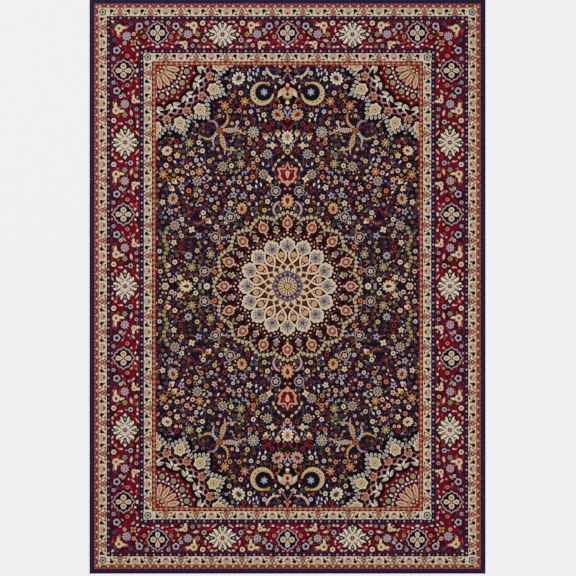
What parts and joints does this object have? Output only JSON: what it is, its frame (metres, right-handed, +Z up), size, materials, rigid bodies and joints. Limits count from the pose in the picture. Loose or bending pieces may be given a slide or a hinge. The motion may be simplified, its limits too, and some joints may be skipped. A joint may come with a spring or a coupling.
{
  "type": "area rug",
  "caption": "Rectangular machine-woven pile rug with a round medallion, quarter-rosette corners and banded borders, laid flat.",
  "frame": {"origin": "middle of the underside, on the floor", "axes": "+Z up through the pile, +Y along the rug's length, +X across its width"},
  "size_m": [2, 2.9, 0.012],
  "materials": {
    "navy_pile": "cut pile, dark navy yarn",
    "rust_pile": "cut pile, rust yarn with dark scallops",
    "ivory_pile": "cut pile, ivory yarn with small rosettes and vines",
    "dotted_navy_pile": "cut pile, navy yarn with pale dots",
    "crimson_pile": "cut pile, crimson yarn with flower motifs",
    "field_pile": "cut pile, navy-black ground covered with small flowers",
    "medallion_pile": "cut pile, ivory and gold rosette on a dark red ground",
    "spandrel_pile": "cut pile, quarter rosettes on red and navy grounds",
    "foundation_cloth": "woven ground cloth of cotton warp and jute weft",
    "latex": "thin matt latex coat over the woven back",
    "cord_cotton": "twisted cotton cord",
    "overcast_yarn": "close wraps of dark navy yarn",
    "binding_tape": "dark navy herringbone tape",
    "stitch_thread": "dark navy sewing thread"
  },
  "bodies": {
    "root": {"latex_coat": "latex", "foundation": "foundation_cloth", "edge_band_left": "navy_pile", "edge_band_right": "navy_pile", "edge_band_front": "navy_pile", "edge_band_back": "navy_pile", "outer_stripe_left": "rust_pile", "outer_stripe_right": "rust_pile", "outer_stripe_front": "rust_pile", "outer_stripe_back": "rust_pile", "outer_guard_left": "ivory_pile", "outer_guard_right": "ivory_pile", "outer_guard_front": "ivory_pile", "outer_guard_back": "ivory_pile", "outer_pinstripe_left": "dotted_navy_pile", "outer_pinstripe_right": "dotted_navy_pile", "outer_pinstripe_front": "dotted_navy_pile", "outer_pinstripe_back": "dotted_navy_pile", "main_border_left": "crimson_pile", "main_border_right": "crimson_pile", "main_border_front": "crimson_pile", "main_border_back": "crimson_pile", "inner_pinstripe_left": "dotted_navy_pile", "inner_pinstripe_right": "dotted_navy_pile", "inner_pinstripe_front": "dotted_navy_pile", "inner_pinstripe_back": "dotted_navy_pile", "inner_guard_left": "ivory_pile", "inner_guard_right": "ivory_pile", "inner_guard_front": "ivory_pile", "inner_guard_back": "ivory_pile", "inner_stripe_left": "rust_pile", "inner_stripe_right": "rust_pile", "inner_stripe_front": "rust_pile", "inner_stripe_back": "rust_pile", "field": "field_pile", "medallion": "medallion_pile", "spandrel_front_left": "spandrel_pile", "spandrel_front_right": "spandrel_pile", "spandrel_back_left": "spandrel_pile", "spandrel_back_right": "spandrel_pile", "side_cord_left": "cord_cotton", "side_overcasting_left": "overcast_yarn", "side_cord_right": "cord_cotton", "side_overcasting_right": "overcast_yarn", "end_tape_front": "binding_tape", "tape_stitches_front": "stitch_thread", "end_tape_back": "binding_tape", "tape_stitches_back": "stitch_thread"}
  },
  "joints": []
}
